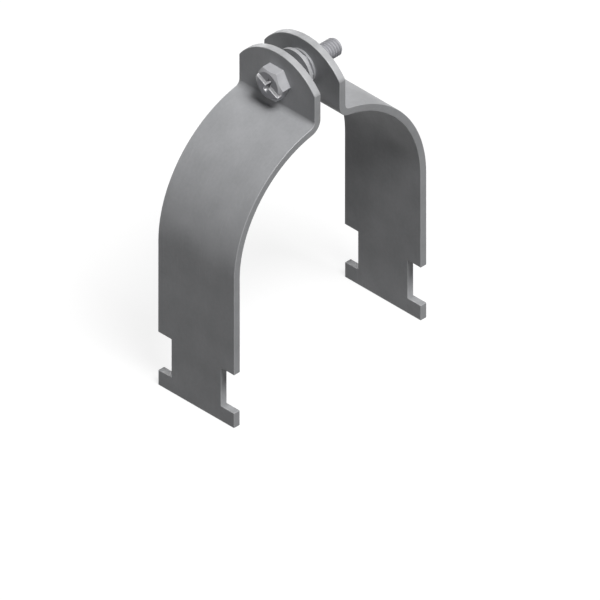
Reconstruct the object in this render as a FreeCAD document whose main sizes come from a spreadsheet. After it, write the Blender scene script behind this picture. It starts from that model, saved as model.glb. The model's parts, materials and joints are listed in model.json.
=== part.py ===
import FreeCAD, Part
import math
import os
import Sketcher

# A two-piece clamp for a pipe: two bent straps, pulled together by a screw and a captive nut.
# X runs from the front strap to the rear strap, Y along the pipe, Z up.
# The origin is on the pipe's axis, in the middle of the straps' width.
# Both straps are the same bent strip, and the rear one is turned half a turn about Z.

SIZES = {
    # Pipe seat
    "pipe_diameter": 76.1,
    "seat_clearance": 0.05,
    # Strip that both straps are bent from
    "strap_width": 32.0,
    "strap_thickness": 2.5,
    "bend_radius": 2.0,
    # Leg below the pipe's centre, with the hook at its foot
    "leg_length": 53.0,
    "hook_height": 5.45,
    "notch_height": 13.8,
    "notch_depth": 5.5,
    # Ears, and the screw's axis above the top of the seat
    "ear_gap": 8.0,
    "screw_rise": 8.65,
    "ear_height": 9.9,
    "crown_rise": 8.4,
    "front_hole_diameter": 6.6,
    # Clamp screw, with a slot and a cross in its head
    "screw_diameter": 6.0,
    "screw_length": 25.0,
    "screw_chamfer": 0.5,
    "head_width": 10.0,
    "head_height": 4.0,
    "head_face_diameter": 8.8,
    "head_chamfer_angle": 30.0,
    "slot_width": 1.5,
    "slot_depth": 1.5,
    "slot_angle": 26.0,
    "cross_span": 5.4,
    "cross_width": 1.5,
    "cross_depth": 2.2,
    "cross_taper": 8.0,
    # Captive nut, riveted into the rear ear
    "flange_diameter": 14.2,
    "flange_height": 1.25,
    "hexagon_width": 10.0,
    "hexagon_height": 1.5,
    "collar_diameter": 11.9,
    "collar_height": 0.75,
    "rivet_diameter": 8.2,
    "rivet_head_diameter": 10.0,
    "rivet_head_height": 0.5,
    "rivet_clearance": 0.02,
    "thread_clearance": 0.05,
    "bore_chamfer": 0.5,
}

# Places that follow from the sizes, as formulas that the sketches and placements read
SEAT_INSIDE = "(Sizes.pipe_diameter / 2 + Sizes.seat_clearance)"
SEAT_OUTSIDE = f"({SEAT_INSIDE} + Sizes.strap_thickness)"
EAR_INSIDE = "(Sizes.ear_gap / 2)"
EAR_OUTSIDE = f"({EAR_INSIDE} + Sizes.strap_thickness)"
SCREW_HEIGHT = f"({SEAT_OUTSIDE} + Sizes.screw_rise)"
EAR_TOP = f"({SCREW_HEIGHT} + Sizes.ear_height)"
EAR_SHOULDER = f"({EAR_TOP} - Sizes.crown_rise)"
HALF_WIDTH = "(Sizes.strap_width / 2)"
CROWN_RADIUS = f"(({HALF_WIDTH} ^ 2 + Sizes.crown_rise ^ 2) / (2 * Sizes.crown_rise))"
HOOK_TOP = "(Sizes.leg_length - Sizes.hook_height)"
HEAD_CORNER = "(Sizes.head_width / sqrt(3))"
FLANGE_BACK = "(Sizes.collar_height + Sizes.hexagon_height)"
NUT_FRONT = f"({FLANGE_BACK} + Sizes.flange_height)"
NUT_BACK = "(Sizes.strap_thickness + Sizes.rivet_head_height)"
BORE_RADIUS = "(Sizes.screw_diameter / 2 + Sizes.thread_clearance)"

# Room that a cutting outline has past the metal that it cuts
MARGIN = 2.0
QUARTER = math.pi / 2

doc = FreeCAD.newDocument("strut_clamp")
sheet = doc.addObject("Spreadsheet::Sheet", "Sizes")
for row, (alias, size) in enumerate(SIZES.items(), start=1):
    sheet.set(f"A{row}", alias.replace("_", " "))
    sheet.set(f"B{row}", str(size))
    sheet.setAlias(f"B{row}", alias)
doc.recompute()


def value(formula):
    """What a formula comes to with the sheet's sizes."""
    return float(sheet.evalExpression(formula))


def vector(x, y, z=0.0):
    return FreeCAD.Vector(x, y, z)


# Bodies and sketches

def new_body(label):
    body = doc.addObject("PartDesign::Body", label)
    body.Label = label
    return body


def origin_plane(body, role):
    """One of the body's own origin planes."""
    for feature in body.Origin.OriginFeatures:
        if feature.Role == role:
            return feature
    raise ValueError(role)


def new_sketch(body, name, role):
    sketch = body.newObject("Sketcher::SketchObject", name)
    sketch.AttachmentSupport = [(origin_plane(body, role), "")]
    sketch.MapMode = "FlatFace"
    return sketch


def hold(sketch, kind, *places):
    return sketch.addConstraint(Sketcher.Constraint(kind, *places))


def bind(sketch, name, formula, kind, *places):
    """A dimension of the sketch that follows the sheet."""
    number = hold(sketch, kind, *places, value(formula))
    sketch.renameConstraint(number, name)
    sketch.setExpression(f"Constraints.{name}", formula)


def add_line(sketch, start, end):
    return sketch.addGeometry(Part.LineSegment(vector(*start), vector(*end)))


def add_arc(sketch, centre, radius, first_angle, last_angle):
    circle = Part.Circle(vector(*centre), vector(0, 0, 1), radius)
    return sketch.addGeometry(Part.ArcOfCircle(circle, first_angle, last_angle))


def add_circle(sketch, height, diameter, construction=False):
    """A circle whose centre is on the sketch's upright axis."""
    circle = Part.Circle(vector(0, height), vector(0, 0, 1), diameter / 2)
    return sketch.addGeometry(circle, construction)


def add_outline(sketch, corners):
    """A closed run of straight lines, joined at its corners."""
    ends = corners[1:] + corners[:1]
    lines = [add_line(sketch, start, end) for start, end in zip(corners, ends)]
    for line, following in zip(lines, lines[1:] + lines[:1]):
        hold(sketch, "Coincident", line, 2, following, 1)
    return lines


def add_rectangle(sketch, left, bottom, right, top):
    """A rectangle of level and upright lines, from its bottom one round to its left one."""
    corners = [(left, bottom), (right, bottom), (right, top), (left, top)]
    lines = add_outline(sketch, corners)
    for line, direction in zip(lines, ("Horizontal", "Vertical") * 2):
        hold(sketch, direction, line)
    return lines


def add_hexagon(sketch, width_formula):
    """A hexagon round the sketch's origin, with two of its corners on the upright axis."""
    corner_formula = f"(2 * {width_formula} / sqrt(3))"
    reach = value(corner_formula) / 2
    turns = [math.radians(90 + 60 * corner) for corner in range(6)]
    lines = add_outline(sketch, [(reach * math.cos(a), reach * math.sin(a)) for a in turns])
    circle = add_circle(sketch, 0, 2 * reach, construction=True)
    hold(sketch, "Coincident", circle, 3, -1, 1)
    for line in lines:
        hold(sketch, "PointOnObject", line, 1, circle)
    for line in lines[1:]:
        hold(sketch, "Equal", lines[0], line)
    hold(sketch, "PointOnObject", lines[0], 1, -2)
    bind(sketch, "corners", corner_formula, "Diameter", circle)


# Features

def pad(body, sketch, name, length_formula, side_type="One side", reverse=False):
    feature = body.newObject("PartDesign::Pad", name)
    feature.Profile = sketch
    feature.SideType = side_type
    feature.Reversed = reverse
    feature.setExpression("Length", length_formula)
    return feature


def pocket(body, sketch, name, depth_formula=None, reverse=False):
    """A cut of the given depth, or through all that lies behind the sketch."""
    feature = body.newObject("PartDesign::Pocket", name)
    feature.Profile = sketch
    feature.Reversed = reverse
    if depth_formula:
        feature.setExpression("Length", depth_formula)
    else:
        feature.Type = "ThroughAll"
    return feature


def turned(body, sketch, name, kind):
    """A full turn of the sketch about its upright axis, added or cut away."""
    feature = body.newObject(kind, name)
    feature.Profile = sketch
    feature.ReferenceAxis = (sketch, ["V_Axis"])
    feature.Angle = 360
    return feature


# Straps, drawn with the leg at -X

def strip_profile(body):
    """The bent strip seen on its edge: leg, half of the pipe seat, bend and ear."""
    inside = value(SEAT_INSIDE)
    outside = value(SEAT_OUTSIDE)
    ear_front_x = -value(EAR_OUTSIDE)
    ear_back_x = -value(EAR_INSIDE)
    foot = -value("Sizes.leg_length")
    blank_top = value(EAR_TOP) + MARGIN
    small = value("Sizes.bend_radius")
    large = value("Sizes.bend_radius + Sizes.strap_thickness")
    bend_x = ear_front_x - small
    bend_z = math.sqrt((outside + small) ** 2 - bend_x ** 2)
    lean = math.asin(-bend_x / (outside + small))

    sketch = new_sketch(body, "StripProfile", "XZ_Plane")
    leg_front = add_line(sketch, (-outside, foot), (-outside, 0))
    seat_outside = add_arc(sketch, (0, 0), outside, QUARTER + lean, 2 * QUARTER)
    small_bend = add_arc(sketch, (bend_x, bend_z), small, 3 * QUARTER + lean, 4 * QUARTER)
    ear_front = add_line(sketch, (ear_front_x, bend_z), (ear_front_x, blank_top))
    ear_end = add_line(sketch, (ear_front_x, blank_top), (ear_back_x, blank_top))
    ear_back = add_line(sketch, (ear_back_x, blank_top), (ear_back_x, bend_z))
    large_bend = add_arc(sketch, (bend_x, bend_z), large, 3 * QUARTER + lean, 4 * QUARTER)
    seat_inside = add_arc(sketch, (0, 0), inside, QUARTER + lean, 2 * QUARTER)
    leg_back = add_line(sketch, (-inside, 0), (-inside, foot))
    leg_end = add_line(sketch, (-inside, foot), (-outside, foot))

    hold(sketch, "Coincident", seat_outside, 3, -1, 1)
    hold(sketch, "Coincident", seat_inside, 3, -1, 1)
    hold(sketch, "Coincident", small_bend, 3, large_bend, 3)
    hold(sketch, "Tangent", leg_front, 2, seat_outside, 2)
    hold(sketch, "Tangent", seat_outside, 1, small_bend, 1)
    hold(sketch, "Tangent", small_bend, 2, ear_front, 1)
    hold(sketch, "Coincident", ear_front, 2, ear_end, 1)
    hold(sketch, "Coincident", ear_end, 2, ear_back, 1)
    hold(sketch, "Tangent", ear_back, 2, large_bend, 2)
    hold(sketch, "Tangent", large_bend, 1, seat_inside, 1)
    hold(sketch, "Tangent", seat_inside, 2, leg_back, 1)
    hold(sketch, "Coincident", leg_back, 2, leg_end, 1)
    hold(sketch, "Coincident", leg_end, 2, leg_front, 1)
    for upright in (leg_front, ear_front, ear_back, leg_back):
        hold(sketch, "Vertical", upright)
    for level in (ear_end, leg_end):
        hold(sketch, "Horizontal", level)
    bind(sketch, "seat_inside", SEAT_INSIDE, "Radius", seat_inside)
    bind(sketch, "seat_outside", SEAT_OUTSIDE, "Radius", seat_outside)
    bind(sketch, "bend", "Sizes.bend_radius", "Radius", small_bend)
    bind(sketch, "half_gap", EAR_INSIDE, "DistanceX", ear_back, 1, -1, 1)
    bind(sketch, "leg", "Sizes.leg_length", "DistanceY", leg_end, 1, -1, 1)
    bind(sketch, "blank", f"{EAR_TOP} + {MARGIN}", "DistanceY", -1, 1, ear_end, 1)
    return sketch


def crown_outline(body):
    """What is cut away above the ear's flat arc, which meets the sides in two corners."""
    side = value(HALF_WIDTH)
    radius = value(CROWN_RADIUS)
    shoulder = value(EAR_SHOULDER)
    centre = value(EAR_TOP) - radius
    spread = math.atan2(side, shoulder - centre)
    far_side = side + MARGIN
    ceiling_height = value(EAR_TOP) + MARGIN

    sketch = new_sketch(body, "CrownOutline", "YZ_Plane")
    crown = add_arc(sketch, (0, centre), radius, QUARTER - spread, QUARTER + spread)
    right_step = add_line(sketch, (side, shoulder), (far_side, shoulder))
    right_side = add_line(sketch, (far_side, shoulder), (far_side, ceiling_height))
    ceiling = add_line(sketch, (far_side, ceiling_height), (-far_side, ceiling_height))
    left_side = add_line(sketch, (-far_side, ceiling_height), (-far_side, shoulder))
    left_step = add_line(sketch, (-far_side, shoulder), (-side, shoulder))

    run = (right_step, right_side, ceiling, left_side, left_step)
    for line, following in zip(run, run[1:]):
        hold(sketch, "Coincident", line, 2, following, 1)
    hold(sketch, "Coincident", crown, 1, right_step, 1)
    hold(sketch, "Coincident", left_step, 2, crown, 2)
    hold(sketch, "PointOnObject", crown, 3, -2)
    for level in (right_step, ceiling, left_step):
        hold(sketch, "Horizontal", level)
    for upright in (right_side, left_side):
        hold(sketch, "Vertical", upright)
    bind(sketch, "crown", CROWN_RADIUS, "Radius", crown)
    bind(sketch, "side", HALF_WIDTH, "DistanceX", -1, 1, crown, 1)
    bind(sketch, "shoulder", EAR_SHOULDER, "DistanceY", -1, 1, crown, 1)
    bind(sketch, "right_margin", f"{MARGIN}", "DistanceX", right_step, 1, right_step, 2)
    bind(sketch, "left_margin", f"{MARGIN}", "DistanceX", left_step, 1, left_step, 2)
    bind(sketch, "ceiling", f"{EAR_TOP} + {MARGIN}", "DistanceY", -1, 1, ceiling, 1)
    return sketch


def notch_outline(body):
    """One side notch, with the hook below it and the narrow neck beside it."""
    side = value(HALF_WIDTH)
    neck = side - value("Sizes.notch_depth")
    floor = -value(HOOK_TOP)
    sketch = new_sketch(body, "NotchOutline", "YZ_Plane")
    ceiling = floor + value("Sizes.notch_height")
    lower, outer, upper, inner = add_rectangle(sketch, neck, floor, side + MARGIN, ceiling)
    bind(sketch, "neck", f"{HALF_WIDTH} - Sizes.notch_depth", "DistanceX", -1, 1, inner, 1)
    bind(sketch, "outer", f"{HALF_WIDTH} + {MARGIN}", "DistanceX", -1, 1, outer, 1)
    bind(sketch, "hook", HOOK_TOP, "DistanceY", lower, 1, -1, 1)
    bind(sketch, "height", "Sizes.notch_height", "DistanceY", outer, 1, outer, 2)
    return sketch


def ear_hole_outline(body, diameter_formula):
    sketch = new_sketch(body, "EarHoleOutline", "YZ_Plane")
    circle = add_circle(sketch, value(SCREW_HEIGHT), value(diameter_formula))
    hold(sketch, "PointOnObject", circle, 3, -2)
    bind(sketch, "height", SCREW_HEIGHT, "DistanceY", -1, 1, circle, 3)
    bind(sketch, "diameter", diameter_formula, "Diameter", circle)
    return sketch


def make_strap(label, turn, hole_formula):
    body = new_body(label)
    pad(body, strip_profile(body), "Strip", "Sizes.strap_width", side_type="Symmetric")
    pocket(body, crown_outline(body), "Crown")
    notch = pocket(body, notch_outline(body), "Notch")
    other_notch = body.newObject("PartDesign::Mirrored", "OtherNotch")
    other_notch.Originals = [notch]
    other_notch.MirrorPlane = (origin_plane(body, "XZ_Plane"), [""])
    body.Tip = other_notch
    pocket(body, ear_hole_outline(body, hole_formula), "EarHole")
    body.Placement = FreeCAD.Placement(vector(0, 0), FreeCAD.Rotation(vector(0, 0, 1), turn))
    return body


# Clamp screw and captive nut, drawn with their axis up local Z and laid along X

def lay_along_x(body, x_formula):
    body.Placement = FreeCAD.Placement(
        vector(value(x_formula), 0, value(SCREW_HEIGHT)),
        FreeCAD.Rotation(vector(0, 1, 0), 90))
    body.setExpression("Placement.Base.x", x_formula)
    body.setExpression("Placement.Base.z", SCREW_HEIGHT)


def shank_profile(body):
    """Half of the shank, from the head's bearing face to the chamfered tip."""
    radius = value("Sizes.screw_diameter / 2")
    length = value("Sizes.screw_length")
    chamfer = value("Sizes.screw_chamfer")
    sketch = new_sketch(body, "ShankProfile", "XZ_Plane")
    start, side, slope, tip, axis = add_outline(sketch, [
        (0, 0),
        (radius, 0),
        (radius, length - chamfer),
        (radius - chamfer, length),
        (0, length)])
    hold(sketch, "Coincident", start, 1, -1, 1)
    hold(sketch, "Horizontal", start)
    hold(sketch, "Vertical", side)
    hold(sketch, "Horizontal", tip)
    hold(sketch, "Vertical", axis)
    bind(sketch, "radius", "Sizes.screw_diameter / 2", "DistanceX", start, 1, start, 2)
    bind(sketch, "length", "Sizes.screw_length", "DistanceY", -1, 1, tip, 2)
    bind(sketch, "chamfer", "Sizes.screw_chamfer", "DistanceX", slope, 2, slope, 1)
    bind(sketch, "chamfer_rise", "Sizes.screw_chamfer", "DistanceY", slope, 1, slope, 2)
    return sketch


def head_chamfer_profile(body):
    """The wedge that takes the six corners off the front of the head."""
    face_formula = "Sizes.head_face_diameter / 2"
    reach_formula = f"({HEAD_CORNER} + {MARGIN} - {face_formula})"
    rise_formula = f"{reach_formula} * tan(Sizes.head_chamfer_angle * 1 deg)"
    face = value(face_formula)
    front = -value("Sizes.head_height")
    reach = value(reach_formula)
    sketch = new_sketch(body, "HeadChamferProfile", "XZ_Plane")
    level, upright, slope = add_outline(sketch, [
        (face, front),
        (face + reach, front),
        (face + reach, front + value(rise_formula))])
    hold(sketch, "Horizontal", level)
    hold(sketch, "Vertical", upright)
    bind(sketch, "face", face_formula, "DistanceX", -1, 1, level, 1)
    bind(sketch, "front", "Sizes.head_height", "DistanceY", level, 1, -1, 1)
    bind(sketch, "reach", reach_formula, "DistanceX", level, 1, level, 2)
    bind(sketch, "rise", rise_formula, "DistanceY", upright, 1, upright, 2)
    return sketch


def bar_on_head(body, name, width_formula, length_formula):
    """A bar across the head's front face, in the direction of the slot."""
    sketch = new_sketch(body, name, "XY_Plane")
    sketch.AttachmentOffset = FreeCAD.Placement(
        vector(0, 0, -value("Sizes.head_height")),
        FreeCAD.Rotation(vector(0, 0, 1), value("Sizes.slot_angle")))
    sketch.setExpression("AttachmentOffset.Base.z", "-Sizes.head_height")
    sketch.setExpression("AttachmentOffset.Rotation.Angle", "Sizes.slot_angle")
    wide = value(width_formula) / 2
    tall = value(length_formula) / 2
    lower, right, upper, left = add_rectangle(sketch, -wide, -tall, wide, tall)
    hold(sketch, "Symmetric", lower, 1, upper, 1, -1, 1)
    bind(sketch, "width", width_formula, "DistanceX", lower, 1, lower, 2)
    bind(sketch, "length", length_formula, "DistanceY", right, 1, right, 2)
    return sketch


def make_clamp_screw():
    body = new_body("clamp_screw")
    turned(body, shank_profile(body), "Shank", "PartDesign::Revolution")
    head = new_sketch(body, "HeadOutline", "XY_Plane")
    add_hexagon(head, "Sizes.head_width")
    pad(body, head, "Head", "Sizes.head_height", reverse=True)
    turned(body, head_chamfer_profile(body), "HeadChamfer", "PartDesign::Groove")
    slot = bar_on_head(body, "SlotOutline", "Sizes.slot_width", "2 * Sizes.head_width")
    pocket(body, slot, "Slot", "Sizes.slot_depth", reverse=True)
    bar = bar_on_head(body, "CrossOutline", "Sizes.cross_width", "Sizes.cross_span")
    cross = pocket(body, bar, "CrossBar", "Sizes.cross_depth", reverse=True)
    cross.setExpression("TaperAngle", "-Sizes.cross_taper")
    both_bars = body.newObject("PartDesign::PolarPattern", "CrossBars")
    both_bars.Originals = [cross]
    both_bars.Axis = (bar, ["N_Axis"])
    both_bars.Angle = 90
    both_bars.Occurrences = 2
    body.Tip = both_bars
    lay_along_x(body, f"-{EAR_OUTSIDE}")
    return body


def nut_profile(body):
    """Half of the nut's round parts: flange, core, collar, and the rivet through the ear."""
    rim = value("Sizes.flange_diameter / 2")
    collar = value("Sizes.collar_diameter / 2")
    rivet = value("Sizes.rivet_diameter / 2")
    rivet_head = value("Sizes.rivet_head_diameter / 2")
    front = -value(NUT_FRONT)
    flange_back = -value(FLANGE_BACK)
    collar_front = -value("Sizes.collar_height")
    far_face = value("Sizes.strap_thickness")
    back = value(NUT_BACK)
    sketch = new_sketch(body, "NutProfile", "XZ_Plane")
    lines = add_outline(sketch, [
        (0, front),
        (rim, front),
        (rim, flange_back),
        (rivet, flange_back),
        (rivet, collar_front),
        (collar, collar_front),
        (collar, 0),
        (rivet, 0),
        (rivet, far_face),
        (rivet_head, far_face),
        (rivet, back),
        (0, back)])
    front_face, rim_side, rim_back, core, collar_face, collar_side = lines[:6]
    seat, shank, under_head, dome, back_face, axis = lines[6:]
    for level in (front_face, rim_back, collar_face, seat, under_head, back_face):
        hold(sketch, "Horizontal", level)
    for upright in (rim_side, core, collar_side, shank, axis):
        hold(sketch, "Vertical", upright)
    hold(sketch, "PointOnObject", axis, 1, -2)
    hold(sketch, "PointOnObject", seat, 1, -1)
    hold(sketch, "Vertical", core, 2, shank, 1)
    hold(sketch, "Vertical", dome, 2, shank, 2)
    bind(sketch, "rim", "Sizes.flange_diameter / 2", "DistanceX", front_face, 1, front_face, 2)
    bind(sketch, "collar", "Sizes.collar_diameter / 2", "DistanceX", -1, 1, collar_side, 2)
    bind(sketch, "rivet", "Sizes.rivet_diameter / 2", "DistanceX", -1, 1, shank, 1)
    bind(sketch, "head", "Sizes.rivet_head_diameter / 2", "DistanceX", -1, 1, under_head, 2)
    bind(sketch, "front", NUT_FRONT, "DistanceY", front_face, 1, -1, 1)
    bind(sketch, "flange_back", FLANGE_BACK, "DistanceY", rim_back, 1, -1, 1)
    bind(sketch, "collar_front", "Sizes.collar_height", "DistanceY", collar_face, 1, -1, 1)
    bind(sketch, "far_face", "Sizes.strap_thickness", "DistanceY", -1, 1, under_head, 1)
    bind(sketch, "back", NUT_BACK, "DistanceY", -1, 1, back_face, 1)
    return sketch


def bore_profile(body):
    """Half of the threaded bore, opened out by a chamfer at each end."""
    radius = value(BORE_RADIUS)
    chamfer = value("Sizes.bore_chamfer")
    front = -value(NUT_FRONT)
    back = value(NUT_BACK)
    sketch = new_sketch(body, "BoreProfile", "XZ_Plane")
    lines = add_outline(sketch, [
        (0, front),
        (radius + chamfer, front),
        (radius, front + chamfer),
        (radius, back - chamfer),
        (radius + chamfer, back),
        (0, back)])
    front_face, front_slope, wall, back_slope, back_face, axis = lines
    for level in (front_face, back_face):
        hold(sketch, "Horizontal", level)
    for upright in (wall, axis):
        hold(sketch, "Vertical", upright)
    hold(sketch, "PointOnObject", axis, 1, -2)
    hold(sketch, "Equal", front_face, back_face)
    chamfer_formula = "Sizes.bore_chamfer"
    bind(sketch, "radius", BORE_RADIUS, "DistanceX", -1, 1, wall, 1)
    bind(sketch, "chamfer", chamfer_formula, "DistanceX", front_slope, 2, front_slope, 1)
    bind(sketch, "front_rise", chamfer_formula, "DistanceY", front_slope, 1, front_slope, 2)
    bind(sketch, "back_rise", chamfer_formula, "DistanceY", back_slope, 1, back_slope, 2)
    bind(sketch, "front", NUT_FRONT, "DistanceY", front_face, 1, -1, 1)
    bind(sketch, "back", NUT_BACK, "DistanceY", -1, 1, back_face, 1)
    return sketch


def make_captive_nut():
    body = new_body("captive_nut")
    turned(body, nut_profile(body), "RoundParts", "PartDesign::Revolution")
    hexagon = new_sketch(body, "HexagonOutline", "XY_Plane")
    hexagon.AttachmentOffset.Base.z = -value("Sizes.collar_height")
    hexagon.setExpression("AttachmentOffset.Base.z", "-Sizes.collar_height")
    add_hexagon(hexagon, "Sizes.hexagon_width")
    pad(body, hexagon, "Hexagon", "Sizes.hexagon_height", reverse=True)
    turned(body, bore_profile(body), "Bore", "PartDesign::Groove")
    lay_along_x(body, EAR_INSIDE)
    return body


rivet_hole = "Sizes.rivet_diameter + 2 * Sizes.rivet_clearance"
pieces = [
    make_strap("front_strap", 0, "Sizes.front_hole_diameter"),
    make_strap("rear_strap", 180, rivet_hole),
    make_clamp_screw(),
    make_captive_nut(),
]
doc.recompute()

for thing in doc.Objects:
    if "Invalid" in thing.State or "Error" in thing.State:
        raise RuntimeError(f"{thing.Label} did not build: {thing.State}")
for piece in pieces:
    if piece.Shape.isNull() or not piece.Shape.isValid() or len(piece.Shape.Solids) != 1:
        raise RuntimeError(f"{piece.Label} is not one sound solid")

os.makedirs("parts", exist_ok=True)
for piece in pieces:
    piece.Shape.exportStep(f"parts/{piece.Label}.step")
    print(piece.Label, round(piece.Shape.Volume, 1), "cubic millimetres")
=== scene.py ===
"""A strut clamp: two bent steel straps, the screw that draws them together and its captive nut.

Each strap is cut out as a flat blank, gets its thickness and its rounded edges, and is then
bent, so its finish follows the strip round the bends. The screw and the nut get a real thread.
"""
import json
import math

import bmesh
import bpy
from bpy.props import FloatProperty, FloatVectorProperty, IntProperty, PointerProperty
from bpy.types import Operator, Panel, PropertyGroup
from mathutils import Matrix, Vector

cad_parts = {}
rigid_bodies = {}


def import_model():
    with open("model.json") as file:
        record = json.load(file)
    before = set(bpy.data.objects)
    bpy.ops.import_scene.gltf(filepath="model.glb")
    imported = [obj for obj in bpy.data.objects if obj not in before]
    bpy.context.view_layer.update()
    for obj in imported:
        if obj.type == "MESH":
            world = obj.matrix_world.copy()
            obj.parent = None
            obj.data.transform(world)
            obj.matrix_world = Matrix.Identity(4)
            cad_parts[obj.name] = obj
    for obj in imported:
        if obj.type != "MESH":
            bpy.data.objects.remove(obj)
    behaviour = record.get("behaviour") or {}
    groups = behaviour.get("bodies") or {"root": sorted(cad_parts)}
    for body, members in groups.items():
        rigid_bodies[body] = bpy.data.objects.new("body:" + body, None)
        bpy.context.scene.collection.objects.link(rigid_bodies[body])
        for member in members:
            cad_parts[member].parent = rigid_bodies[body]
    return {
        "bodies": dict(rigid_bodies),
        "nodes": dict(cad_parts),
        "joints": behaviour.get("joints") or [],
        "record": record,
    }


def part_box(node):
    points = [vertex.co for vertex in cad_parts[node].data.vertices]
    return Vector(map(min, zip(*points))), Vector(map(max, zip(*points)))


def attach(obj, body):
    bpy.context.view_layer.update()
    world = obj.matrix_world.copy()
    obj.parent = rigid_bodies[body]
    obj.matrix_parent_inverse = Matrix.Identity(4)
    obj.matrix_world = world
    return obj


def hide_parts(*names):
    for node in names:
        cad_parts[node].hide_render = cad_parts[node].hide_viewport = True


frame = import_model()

bl_info = {
    "name": "Strut Clamp",
    "version": (1, 0, 0),
    "blender": (4, 5, 0),
    "location": "3D View > Sidebar > Strut Clamp",
    "description": "Builds a two-piece pipe clamp, its screw, its captive nut and a plain studio",
    "category": "Add Mesh",
}

MM = 0.001
STRAP_LOW, STRAP_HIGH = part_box("front_strap")
SCREW_LOW, SCREW_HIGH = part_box("clamp_screw")
NUT_LOW, NUT_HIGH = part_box("captive_nut")
PIPE_SEAT = next(m for m in frame["record"]["mounts"] if m["name"] == "pipe_seat")
SCREW_TURN = next(j for j in frame["joints"] if j["name"] == "screw_turn")
SCREW_HEIGHT = SCREW_TURN["pos_m"][2]

SAME_PLACE = 1e-6  # Points nearer than this are one point.
ON_PLANE = 1e-7  # Points nearer to a cutting plane than this lie on it.
SEAM = 0.05 * MM  # Width of the band of faces that joins two meshes.

# How many flat steps stand for each round form.
CROWN_STEPS, HOLE_STEPS, SEAT_STEPS, BEND_STEPS, NUT_STEPS = 32, 48, 30, 12, 72

# Corners sharper than these are rounded, or keep a crease.
SHEARED_CORNER, TURNED_CORNER, CREASE = math.radians(60.0), math.radians(40.0), math.radians(25.0)
ONE_FACET = math.radians(1.0)  # Triangles that meet at less than this are one flat face.
SIDEWAYS = 0.5  # A flat blank's face is sheared if its normal's part through the strip is less.

THREAD_DEPTH = 0.5413  # Depth of a metric thread, as a share of its pitch.
RUNOUT_START = 0.4 * MM  # Plain length between the head and the thread's runout.
RIVET_SLOPE = 0.9  # How far the riveted end's rim slopes in, for each unit of its height.

# The head's slot and cross, from the head's front and its axis: where a driver rubs them bare, the
# bare steel also made bright as a painted highlight in the slot.
SLOT_ANGLE = math.radians(26.0)
BARE_HIGHLIGHT_FROM, BARE_HIGHLIGHT_TO = 0.1 * MM, 2.3 * MM
BARE_HIGHLIGHT_RADIUS = 4.4 * MM
CROSS_MIDDLE, ARM_END = 0.9 * MM, 2.2 * MM
FRONT_FACE = 0.02 * MM
CONE_SLOPES = (-0.97, -0.3)  # The coned chamfer's faces have normals between these along X.

# How bright each place is made, from 0 to 1: the rounded edges as rubbed wear, and the ears' round
# tops, the screw's head and thread and the nut's flange as painted highlights.
RUB_EDGES, CROWN_HIGHLIGHT, HEAD_HIGHLIGHT, THREAD_HIGHLIGHT, FLANGE_HIGHLIGHT = 0.35, 0.9, 0.8, 0.4, 0.6

# Grain of each surface: the coordinates it follows, and its lines in a metre across and along.
ROLLED_FACE = ("blank", 2600.0, 60.0)
SHEARED_FACE = ("blank", 500.0, 2400.0)
TURNED_FACE = ("object", 1400.0, 1400.0)
TURNED_GRAIN = 0.6  # Strength of the grain on the screw and the nut, as a share of the strip's.

# Clouding, scratches, and wear with the painted highlights, in features to a metre, and how they
# mix.
BROAD_CLOUDS, FINE_CLOUDS, BROAD_PART, FINE_PART = 90.0, 900.0, 0.65, 0.35
CLOUD_ROUGHNESS = 0.6
SCRATCHES_ACROSS, SCRATCHES_ALONG, SCRATCH_PATCHES = 3200.0, 110.0, 70.0
SCRATCH_SLANTS = ((0.5, 0.2), (-0.9, -0.4), (1.6, 0.7))
WEAR_PATCHES, LEAST_WEAR, WEAR_POLISH = 260.0, 0.2, 0.1
STREAK_ROUGHNESS = 0.5
BUMP_DEPTH = 0.02 * MM
LINES_BUMP, CLOUDS_BUMP = 0.7, 0.3

FLOOR_GAP = 0.02 * MM
FLOOR_BOUNCE = 0.1  # Share of the floor's colour that lights the clamp.
LAMP_DISTANCE, CAMERA_DISTANCE = 0.5, 0.6
CLIP_START, CLIP_END = 0.01, 20.0
VIEW_DIRECTION = (1.0, 1.0, -1.0)  # The isometric view from the head's side.

MIX_A, MIX_B, MIX_RESULT = 6, 7, 2  # A Mix node's colour sockets.
MID_GREY, PALE_GREY = (0.5, 0.5, 0.5, 1.0), (0.7, 0.7, 0.7, 1.0)
WHITE = (1.0, 1.0, 1.0, 1.0)


def length(name, description, default):
    """A length in metres that the sidebar shows in the scene's own units."""
    return FloatProperty(
        name=name, description=description, default=default,
        min=0.0, unit="LENGTH", subtype="DISTANCE", precision=5,
    )


def share(name, description, default):
    """A number from 0 to 1."""
    return FloatProperty(
        name=name, description=description, default=default, min=0.0, max=1.0, subtype="FACTOR"
    )


def strength(name, description, default):
    """The strength of a lamp."""
    return FloatProperty(name=name, description=description, default=default, min=0.0)


def colour(name, description, default):
    """A linear colour."""
    return FloatVectorProperty(
        name=name, description=description, default=default,
        size=3, min=0.0, max=1.0, subtype="COLOR",
    )


def direction(name, description, default):
    """A direction that a lamp stands in."""
    return FloatVectorProperty(
        name=name, description=description, default=default, size=3, subtype="DIRECTION"
    )


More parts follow.
